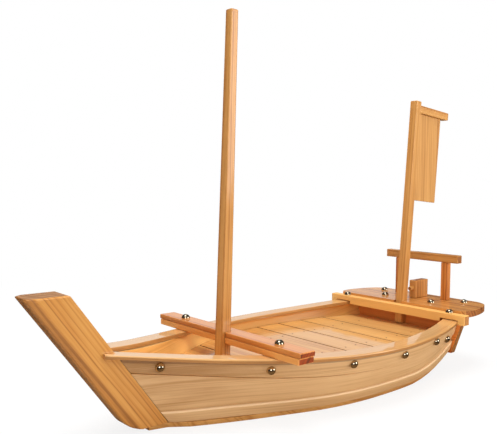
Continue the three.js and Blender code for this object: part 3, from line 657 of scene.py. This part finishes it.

# %% [markdown]
# ## Stem
# The six corners of each level section are joined into a post. Grain runs up the rake, so along the grain
# a millimetre of height counts for 1.25 of length. The nose faces carry a darker tone: painted shade on
# the faces of the nose.

# %% Stem
across = np.stack([aft + inset, nose, tip - inset, tip - inset, nose, aft + inset], -1)
half, tip_half = STEM_HALF - inset, tip_half - inset
breadth = np.stack([-half, -half, -tip_half, tip_half, half, half], -1)
level = np.broadcast_to(z[:, None], across.shape)
grain = np.stack([level * 1.253, (across - aft[:, None]) * 0.8, breadth], -1)
radii = [0.25, 1.8, 2.4, 2.4, 1.8, 0.25]
# Painted shade on the nose: a darker tone on faces 9 to 19 of each section.
heart = np.zeros(30)
heart[9:20] = 0.2
heart[10:19] = 0.42
stem = skinned("stem_post", softened(np.stack([across, breadth, level], -1), radii, 5),
               softened(grain, radii, 5), STEM, "stem_wood", replaced=["stem"], tone=heart)
print("stem of", len(stem.data.polygons), "faces,", STEM_TOP, "mm high")

# %% [markdown]
# ## A square bar
# Masts, posts and rails are square sticks with broken edges. A cube with a bevel would do for one, but
# the grain has to run along each stick, and the mast tapers. So a bar is a small rectangle carried from
# one end to the other, with a few shrinking sections that round each end.

# %% A square bar
def bar(name, start, end, half, material, body, replaced, side=(1, 0, 0), radius=1.0, end_half=None,
        taper=0.0, tone=0.0):
    """Rectangle half[0] by half[1] carried from start to end; near the ends it shrinks by r (1 - cos a).

    Past the share taper of its length it narrows evenly to end_half.
    """
    start, end = np.asarray(start, float), np.asarray(end, float)
    length = np.linalg.norm(end - start)
    way = (end - start) / length
    side = np.asarray(side, float) - np.dot(side, way) * way
    side /= np.linalg.norm(side)
    other = np.cross(way, side)
    arc = np.linspace(math.pi / 2, 0, 4)
    ease, round_off = radius * (1 - np.sin(arc)), radius * (1 - np.cos(arc))
    at = np.r_[ease, np.linspace(0.1, 0.9, 9) * length, length - ease[::-1]]
    shrink = np.r_[round_off, np.zeros(9), round_off[::-1]]
    first = np.asarray(half, float)
    last = first if end_half is None else np.asarray(end_half, float)
    share = np.clip((at / length - taper) / (1 - taper), 0, 1)
    size = first + (last - first) * share[:, None] - shrink[:, None]
    flat = size[:, None, :] * np.array([[-1, -1], [1, -1], [1, 1], [-1, 1]])
    local = np.concatenate([np.broadcast_to(at[:, None, None], flat.shape[:2] + (1,)), flat], -1)
    local = softened(local, radius)
    loops = start + local[..., :1] * way + local[..., 1:2] * side + local[..., 2:] * other
    return skinned(name, loops, local, material, "bar_wood", body, replaced, tone=tone)


print("bars have broken edges of 1 mm unless told otherwise")

# %% [markdown]
# ## Main mast
# The mast stands in a slot of the thwart, goes through the deck and ends in a step on the floor. It leans
# aft a little and tapers above the thwart. It rides on its own body, since it lifts out for washing.

# %% Main mast
def box_mm(name):
    """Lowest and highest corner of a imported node, in millimetres."""
    return [np.array(corner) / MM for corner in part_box(name)]


MAST_RAKE, MAST_HALF, MAST_TOP_HALF = 0.025, 7.2, 5.65
THWART_SPOT = (86.4, 87.24)  # the mast's middle line passes here: x and z in mm
low, high = box_mm("main_mast")
foot = np.array([THWART_SPOT[0] - MAST_RAKE * (low[2] - THWART_SPOT[1]), 0, low[2]])
head = foot + np.array([-MAST_RAKE, 0, 1]) * (high[2] - low[2])
bar("mast", foot, head, (MAST_HALF, MAST_HALF), BARS, "mast", ["main_mast"], radius=1.6,
    end_half=(MAST_TOP_HALF, MAST_TOP_HALF), taper=0.14, tone=0.12)
print("mast", round(float(high[2] - low[2])), "mm long")

# %% [markdown]
# ## Sail pole and yard
# The stern mast is a raked square pole with a short arm near its top, and the sail hangs from the arm as
# a thin panel. The arm stands square to the pole, so both use the same angle.

# %% Sail pole and yard
POLE_RAKE, POLE_HALF, POLE_X, POLE_FOOT, POLE_LONG = math.atan(0.085), 6.3, -275.8, 56.2, 353.8
ARM_HALF, ARM_LONG, ARM_DROP = 6.0, 79.0, 12.0
pole_way = np.array([-math.sin(POLE_RAKE), 0, math.cos(POLE_RAKE)])
arm_way = np.array([-math.cos(POLE_RAKE), 0, -math.sin(POLE_RAKE)])
pole_foot = np.array([POLE_X, 0, POLE_FOOT + POLE_HALF * math.sin(POLE_RAKE)])
bar("sail_mast", pole_foot, pole_foot + pole_way * POLE_LONG, (POLE_HALF, POLE_HALF), BARS, "sail",
    ["sail_pole"], side=(0, 1, 0))
arm_start = pole_foot + pole_way * (POLE_LONG - ARM_DROP) + arm_way * (POLE_HALF + GLUE)
bar("sail_yard", arm_start, arm_start + arm_way * ARM_LONG, (ARM_HALF, ARM_HALF), BARS, "sail",
    ["sail_arm"], side=(0, 1, 0))
print("pole leans", round(math.degrees(POLE_RAKE), 1), "degrees aft")

# %% [markdown]
# ## Stern rail and rudder block
# At the stern two posts carry a bar, like the rail of a real ship's stern, and a block stands for the
# head of the rudder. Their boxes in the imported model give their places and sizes.

# %% Stern rail and rudder block
def box_ends(name, axis):
    """Middles of the two end faces of a node's box along an axis, and its half sizes on the other two."""
    low, high = box_mm(name)
    start, end = (low + high) / 2, (low + high) / 2
    start[axis], end[axis] = low[axis], high[axis]
    return start, end, np.delete((high - low) / 2, axis)


for name, packed, axis, wood, tone in (("rail_post_port", "stern_post_port", 2, POSTS, 0.0),
                                       ("rail_post_stbd", "stern_post_stbd", 2, POSTS, 0.0),
                                       ("stern_rail", "stern_rail_bar", 1, BARS, 0.2),
                                       ("rudder_block", "rudder_head", 2, STERN, 0.0)):
    start, end, half = box_ends(packed, axis)
    bar(name, start, end, half, wood, "hull", [packed], tone=tone)
    print(name, "is", np.linalg.norm(end - start).round(1), "mm long and", (2 * half).round(1), "mm thick")

# %% [markdown]
# ## Boards cut to fit
# Deck boards, the platform, the beam and the thwart have notches, holes and scribed ends that the packed
# model already holds exactly. Working these out again would only add mistakes. So each board is copied
# from its node: the loose triangles are merged, flat faces are joined into one, and a bevel softens the
# edges. Faces across the grain are sawn ends. A shave takes a little off both long edges, where a seam
# has to show.

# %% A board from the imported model
ATHWART, FORE_AFT, UPRIGHT = [1, 0, 2], [0, 1, 2], [2, 0, 1]


def dressed(name, order, material, body="hull", edge=0.8, shave=0.0, tone=0.0, seam=0.0):
    """Copy of a node with merged faces and bevelled edges; order names the axis along, across, through.

    Across the grain, points are held inside the board's own edges less the shave, and those edge faces
    carry the seam mark.
    """
    mesh = bpy.data.meshes.new(f"{name}_board")
    tidy = bmesh.new()
    tidy.from_mesh(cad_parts[name].data)
    bmesh.ops.remove_doubles(tidy, verts=tidy.verts, dist=1e-6)
    bmesh.ops.dissolve_limit(tidy, angle_limit=math.radians(0.6), verts=tidy.verts, edges=tidy.edges)
    tidy.to_mesh(mesh)
    tidy.free()
    co = np.empty(len(mesh.vertices) * 3, np.float32)
    mesh.vertices.foreach_get("co", co)
    co = co.reshape(-1, 3)
    wide = co[:, order[1]]
    co[:, order[1]] = np.clip(wide, wide.min() + shave * MM, wide.max() - shave * MM)
    mesh.vertices.foreach_set("co", co.ravel())
    mesh.update()
    mesh.shade_smooth()
    normal = np.empty(len(mesh.polygons) * 3, np.float32)
    mesh.polygons.foreach_get("normal", normal)
    facing = np.abs(normal.reshape(-1, 3)) > 0.9
    marks = {"tone": tone, "end_cut": facing[:, order[0]], "seam": seam * facing[:, order[1]]}
    made = finish_piece(f"{name}_board", mesh, co[:, order] / MM, marks, material, body, [name])
    soft = made.modifiers.new("soft_edges", "BEVEL")
    soft.width = edge * MM
    soft.segments = 3
    soft.limit_method = "ANGLE"
    soft.angle_limit = math.radians(40)
    keep_flats(made)
    return made


print("grain across the boat, along it or upright:", ATHWART, FORE_AFT, UPRIGHT)

# %% [markdown]
# ## Deck boards
# Nine boards lie across the hull. Their seams are the dark lines of the deck. A real seam is a hair wide,
# which is less than a pixel here, so each edge is shaved by 0.9 mm and the seam drawn about 2 mm wide.
# The boards nearest the stern are painted palest: painted light where the stern beam shades them.

# %% Deck boards
# Board tones as painted light: palest aft, where the stern beam shades the deck.
for i, tone in enumerate((-0.35, -0.25, -0.1, 0.1, 0.2, 0.2, 0.2, 0.1, 0.0), start=1):
    dressed(f"deck_plank_{i}", ATHWART, DECK, edge=0.25, shave=0.9, tone=tone, seam=0.8)
print("nine deck boards")

# %% [markdown]
# ## Stern, thwart, floor and sail boards
# The same copy serves the other boards. Tones follow the photograph: the beam is the palest piece of the
# stern, and the thwart has a red cap over a lighter bar. The panel's grain stands upright, and it rides
# on the sail body with its pole.

# %% Stern, thwart, floor and sail boards
dressed("poop_plank_fore", ATHWART, STERN, edge=1.4)
dressed("poop_plank_aft", ATHWART, STERN, edge=1.4, tone=0.05)
dressed("stern_beam", ATHWART, PALE, edge=0.8, tone=-0.5)
dressed("thwart_bar", ATHWART, POSTS, edge=1.1, tone=-0.32)
dressed("thwart_cap", ATHWART, RUSSET, edge=0.5, shave=0.4, tone=-0.3)
dressed("transom", ATHWART, TRANSOM, edge=1.2, tone=-0.15)
dressed("bottom_board", FORE_AFT, DECK, edge=0.6, tone=0.15)
panel = dressed("sail_panel", UPRIGHT, DECK, "sail", edge=0.3, tone=0.2)
print("last board:", panel.name, panel.dimensions.to_tuple(3), "m")

# %% [markdown]
# ## Bearers and frames
# Under the deck two bearers, a frame, the mast's step and a cleat hold the boat together. Nobody sees
# them unless a board is lifted, and they are left as the saw cut them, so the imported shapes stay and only
# get a wood of their own.

# %% Bearers and frames
for name in ("bearer_port", "bearer_stbd", "bow_frame_1", "mast_step", "poop_cleat"):
    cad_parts[name].data.materials.clear()
    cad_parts[name].data.materials.append(SAWN)
    print(name, "is", SAWN.name)

# %% [markdown]
# ## Turned pieces
# A nail's dome and the tiller peg are round. A sphere or a cylinder could stand in, but a profile turned
# on its axis gives the real edge: a rim that tucks under, or a rounded end. The profile is a list of
# radii and heights, and each becomes a ring.

# %% A turned piece
def turned(name, profile, base, way, material, slot, replaced, sides=32):
    """Ring point = base + radius (cos a, sin a) square to the axis + height along the axis."""
    way = np.asarray(way, float) / np.linalg.norm(way)
    one = np.cross(way, [1.0, 0, 0] if abs(way[0]) < 0.8 else [0, 1.0, 0])
    one /= np.linalg.norm(one)
    two = np.cross(way, one)
    angle = np.linspace(0, 2 * math.pi, sides, endpoint=False)
    ring = np.cos(angle)[:, None] * one + np.sin(angle)[:, None] * two
    profile = np.asarray(profile, float)
    loops = np.asarray(base) + profile[:, :1, None] * ring + profile[:, 1:, None] * way
    grain = np.stack([np.broadcast_to(profile[:, 1:], loops.shape[:2]),
                      profile[:, :1] * np.cos(angle), profile[:, :1] * np.sin(angle)], -1)
    return skinned(name, loops, grain, material, slot, "hull", replaced, flats=False)


print("turned pieces have 32 sides unless told otherwise")

# %% [markdown]
# ## Dome nails
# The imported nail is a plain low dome. On the photograph the domes are fuller, nearly half a ball, so the
# scene turns its own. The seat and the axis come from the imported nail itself: it is round about its axis,
# so two of the three spreads of its points are equal, and the odd one out gives the axis.

# %% Dome nails
def nail_seat(name):
    """Middle of a packed nail's rim at its lowest, and its axis, from the spread of its points."""
    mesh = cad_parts[name].data
    co = np.empty(len(mesh.vertices) * 3, np.float32)
    mesh.vertices.foreach_get("co", co)
    co = np.unique(np.round(co.reshape(-1, 3).astype(float) / MM, 4), axis=0)
    spread, ways = np.linalg.eigh(np.cov((co - co.mean(0)).T))
    way = ways[:, 0] if abs(spread[1] - spread[2]) < abs(spread[0] - spread[1]) else ways[:, 2]
    height = (co - co.mean(0)) @ way
    reach = np.linalg.norm(co - co.mean(0) - height[:, None] * way, axis=1)
    rim = reach > 4.5
    if height[rim].mean() < (height.max() + height.min()) / 2:
        way, height = -way, -height
    return co[rim].mean(0) + way * (height[rim].min() - height[rim].mean()), way


swell = np.linspace(0, math.pi / 2, 13)[:-1]
dome = np.r_[[[1.0, -1.2], [5.3, -0.6]], np.stack([5.7 * np.cos(swell), 0.1 + 5.2 * np.sin(swell)], -1),
             [[0.15, 5.3]]]
nails = sorted(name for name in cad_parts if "nail" in name)
for name in nails:
    seat, way = nail_seat(name)
    turned(f"{name}_dome", dome, seat, way, NICKEL, "nickel", [name])
print(len(nails), "nails,", 2 * dome[:, 0].max(), "mm wide")

# %% [markdown]
# ## Tiller peg
# A round pin sticks out of the rudder block, as the tiller would. Its free end is eased.

# %% Tiller peg
low, high = box_mm("tiller_peg")
PEG, peg_long = 3.4, high[0] - low[0]
pin = [[PEG, 0], [PEG, peg_long - 1], [PEG - 0.3, peg_long - 0.3], [PEG - 1, peg_long]]
turned("tiller_pin", pin, [low[0], 0, (low[2] + high[2]) / 2], (1, 0, 0), BARS, "bar_wood", ["tiller_peg"],
       sides=24)
print("peg", round(float(peg_long), 1), "mm long")

# %% [markdown]
# ## Brads
# Each deck board is pinned to both bearers by pairs of brads, never quite in line. Their heads are tiny,
# so a head is only three rings of eight points, and all of them share one mesh.

# %% Brads
seams = np.r_[TRANSOM_X + GLUE, np.linspace(-209, 106, 8)]
middle = (seams[:-1] + seams[1:]) / 2
brad_x, brad_y = np.meshgrid(np.r_[middle - 11, middle + 11], [-50.0, 50.0])
heads = np.stack([brad_x.ravel(), brad_y.ravel()], -1) + chance.uniform(-1.5, 1.5, (brad_x.size, 2))
heads = heads[heads[:, 0] < 62]

# Point = head + radius of the ring * (cos a, sin a), at the height of the ring above the deck.
ring_radius, ring_height = np.array([1.2, 1.2, 0.7]), np.array([55.5, 56.1, 56.25])
angle = np.linspace(0, 2 * math.pi, 8, endpoint=False)
flat = heads[:, None, None] + ring_radius[:, None, None] * np.stack([np.cos(angle), np.sin(angle)], -1)
points = np.concatenate([flat, np.broadcast_to(ring_height[:, None, None], flat.shape[:3] + (1,))], -1)

i, j = np.meshgrid(np.arange(2), np.arange(8), indexing="ij")
a, b = i * 8 + j, i * 8 + (j + 1) % 8
quads = np.stack([a, b, b + 8, a + 8], -1).reshape(-1, 4)
first = np.arange(len(heads))[:, None] * 24
faces = (first[:, None] + quads).reshape(-1, 4).tolist()
faces += (first + np.arange(16, 24)).tolist() + (first + np.arange(7, -1, -1)).tolist()
mesh = bpy.data.meshes.new("deck_brads")
mesh.from_pydata((points.reshape(-1, 3) * MM).tolist(), [], faces)
finish_piece("deck_brads", mesh, points.reshape(-1, 3), {"tone": 0.0}, BRAD, "hull", [])
print(len(heads), "brads")

# %% [markdown]
# ## Table
# The boat stands on a plain white table. The camera sees it as white, with the boat's soft shadow, and it
# fades to pure white farther out, so that it runs into the background without an edge. What it throws up
# on the hull is ordinary light from matt white paint. In the lacquer and the nails of the photograph the
# table is dark, except close to the boat, where the wood warms it, so mirror rays find that. Light Path
# tells the kinds of rays apart.

# %% Table
floor_paint, tree = new_material("floor_white")
path = node(tree, "ShaderNodeLightPath").outputs
spot = node(tree, "ShaderNodeTexCoord").outputs["Object"]
away = node(tree, "ShaderNodeVectorMath", {0: spot}, operation="LENGTH").outputs["Value"]
share = node(tree, "ShaderNodeMapRange",
             {"Value": away, "From Min": 0.35, "From Max": 1.1, "To Min": 0.85, "To Max": 1.0})
near = node(tree, "ShaderNodeMapRange",
            {"Value": away, "From Min": 0.2, "From Max": 0.42, "To Min": 0.3, "To Max": 0.01})
mirrored = node(tree, "ShaderNodeMath",
                {0: path["Is Glossy Ray"], 1: near.outputs[0]}, operation="MULTIPLY")
clear = node(tree, "ShaderNodeMath",
             {0: path["Is Camera Ray"], 1: path["Is Transmission Ray"]}, operation="MAXIMUM")
seen = node(tree, "ShaderNodeMath", {0: clear.outputs[0], 1: mirrored.outputs[0]}, operation="MAXIMUM")
part = node(tree, "ShaderNodeMath", {0: seen.outputs[0], 1: share.outputs[0]}, operation="MULTIPLY")
paint = node(tree, "ShaderNodeMix",
             {"Factor": clear.outputs[0], "A": linear("#f4f2ee"), "B": linear("#f6f6f6")},
             data_type="RGBA")
paint = node(tree, "ShaderNodeMix",
             {"Factor": path["Is Glossy Ray"], "A": paint.outputs["Result"], "B": linear("#2c2620")},
             data_type="RGBA")
matte = node(tree, "ShaderNodeBsdfDiffuse", {"Color": paint.outputs["Result"]})
lit = node(tree, "ShaderNodeMix",
           {"Factor": path["Is Glossy Ray"], "A": linear("#ffffff"), "B": linear("#e8b47c")},
           data_type="RGBA")
shine = node(tree, "ShaderNodeEmission", {"Color": lit.outputs["Result"], "Strength": 1.0})
sheet = node(tree, "ShaderNodeMixShader", {0: part.outputs[0], 1: matte.outputs[0], 2: shine.outputs[0]})
node(tree, "ShaderNodeOutputMaterial", {"Surface": sheet.outputs[0]})

mesh = bpy.data.meshes.new("floor")
mesh.from_pydata([(-9, -9, 0), (9, -9, 0), (9, 9, 0), (-9, 9, 0)], [], [[0, 1, 2, 3]])
mesh.materials.append(floor_paint)
floor = bpy.data.objects.new("floor", mesh)
bpy.context.scene.collection.objects.link(floor)
print("table", floor.dimensions.x, "m across")

# %% [markdown]
# ## Room
# The world round the boat gives the even light of a white room, a little stronger on the port side. A
# mirror in such a room would show white everywhere and a polished nail would look like paint. In the
# photograph the nails are dark with small lights, so mirror rays see the room much dimmer, with three
# soft windows: two low ones on either side of the camera and one overhead. Each is a disc of directions
# with a soft edge.

# %% Room
world = bpy.data.worlds.new("studio")
world.use_nodes = True
tree = world.node_tree
tree.nodes.clear()
path = node(tree, "ShaderNodeLightPath").outputs
sky = node(tree, "ShaderNodeTexCoord").outputs["Generated"]
port = node(tree, "ShaderNodeVectorMath", {0: sky, 1: (-0.1, 0.99, 0)}, operation="DOT_PRODUCT")
soft = node(tree, "ShaderNodeMath",
            {0: port.outputs["Value"], 1: 0.12, 2: 0.5}, operation="MULTIPLY_ADD")
dim = node(tree, "ShaderNodeMath", {0: path["Is Glossy Ray"], 1: -0.85, 2: 1.0}, operation="MULTIPLY_ADD")
glow = node(tree, "ShaderNodeMath", {0: soft.outputs[0], 1: dim.outputs[0]}, operation="MULTIPLY")

WINDOWS = ((124, 13, 13), (50, 13, 11), (20, 78, 15))  # bearing, height and radius in degrees
for bearing, height, radius in np.radians(WINDOWS).tolist():
    level = math.cos(height)
    toward = (level * math.cos(bearing), level * math.sin(bearing), math.sin(height))
    facing = node(tree, "ShaderNodeVectorMath", {0: sky, 1: toward}, operation="DOT_PRODUCT")
    bright = node(tree, "ShaderNodeMapRange",
                  {"Value": facing.outputs["Value"], "From Min": math.cos(radius + math.radians(3)),
                   "From Max": math.cos(radius), "To Min": 0.0, "To Max": 4.0})
    glow = node(tree, "ShaderNodeMath",
                {0: bright.outputs[0], 1: path["Is Glossy Ray"], 2: glow.outputs[0]},
                operation="MULTIPLY_ADD")
print(len(WINDOWS), "windows for the mirrors")

# %% [markdown]
# ## White paper
# Behind the boat hangs white paper. The camera sees white all round, as on the photograph. The lacquered
# deck mirrors the paper as a pale sheen that ends in a clear line aft, which tells how wide it was: about
# fourteen degrees to each side of the line of sight. So mirror rays find it in that sector only, a little
# below full white.

# %% White paper
PAPER = 14.5  # half its width, in degrees
ahead = node(tree, "ShaderNodeVectorMath",
             {0: sky, 1: (math.cos(YAW), math.sin(YAW), 0)}, operation="DOT_PRODUCT")
aside = node(tree, "ShaderNodeVectorMath",
             {0: sky, 1: (-math.sin(YAW), math.cos(YAW), 0)}, operation="DOT_PRODUCT")
bearing = node(tree, "ShaderNodeMath",
               {0: aside.outputs["Value"], 1: ahead.outputs["Value"]}, operation="ARCTAN2")
width = node(tree, "ShaderNodeMath", {0: bearing.outputs[0]}, operation="ABSOLUTE")
paper = node(tree, "ShaderNodeMath", {0: width.outputs[0], 1: math.radians(PAPER)}, operation="LESS_THAN")
mirrored = node(tree, "ShaderNodeMath",
                {0: path["Is Glossy Ray"], 1: paper.outputs[0]}, operation="MULTIPLY")
mirrored = node(tree, "ShaderNodeMath", {0: mirrored.outputs[0], 1: 0.68}, operation="MULTIPLY")
clear = node(tree, "ShaderNodeMath",
             {0: path["Is Camera Ray"], 1: path["Is Transmission Ray"]}, operation="MAXIMUM")
seen = node(tree, "ShaderNodeMath", {0: clear.outputs[0], 1: mirrored.outputs[0]}, operation="MAXIMUM")
room = node(tree, "ShaderNodeBackground", {"Color": linear("#fffdfa"), "Strength": glow.outputs[0]})
white = node(tree, "ShaderNodeBackground", {"Color": linear("#ffffff"), "Strength": 1.0})
both = node(tree, "ShaderNodeMixShader", {0: seen.outputs[0], 1: room.outputs[0], 2: white.outputs[0]})
node(tree, "ShaderNodeOutputWorld", {"Surface": both.outputs[0]})
bpy.context.scene.world = world
print("paper", 2 * PAPER, "degrees wide")

# %% [markdown]
# ## Lamps
# Three large soft lamps model the shapes: a broad one overhead, one off the port quarter that lights the
# near side, and a weak one over the bow. Big lamps close by would show as glaring squares in the lacquer
# from some sides, so the mirrors don't see them: the windows above stand in for them there. Standard view
# keeps colours about as they are written.

# %% Lamps
def soft_lamp(name, place, size, power):
    """A rectangle of that size in metres, turned to shine at the middle of the boat."""
    data = bpy.data.lights.new(name, "AREA")
    data.shape = "RECTANGLE"
    data.size, data.size_y = size
    data.energy = power
    lamp = bpy.data.objects.new(name, data)
    lamp.visible_glossy = False
    aim(lamp, place, np.array([0, 0, 0.1]) - place)
    print(name, power, "W")


soft_lamp("lamp_port", (-1.7, 1.8, 0.75), (1.2, 0.9), 24)
soft_lamp("lamp_front", (1.5, 1.75, 0.8), (0.9, 0.8), 4)
soft_lamp("lamp_over", (0.2, 0.1, 2.3), (1.4, 1.4), 48)
bpy.context.scene.view_settings.view_transform = "Standard"
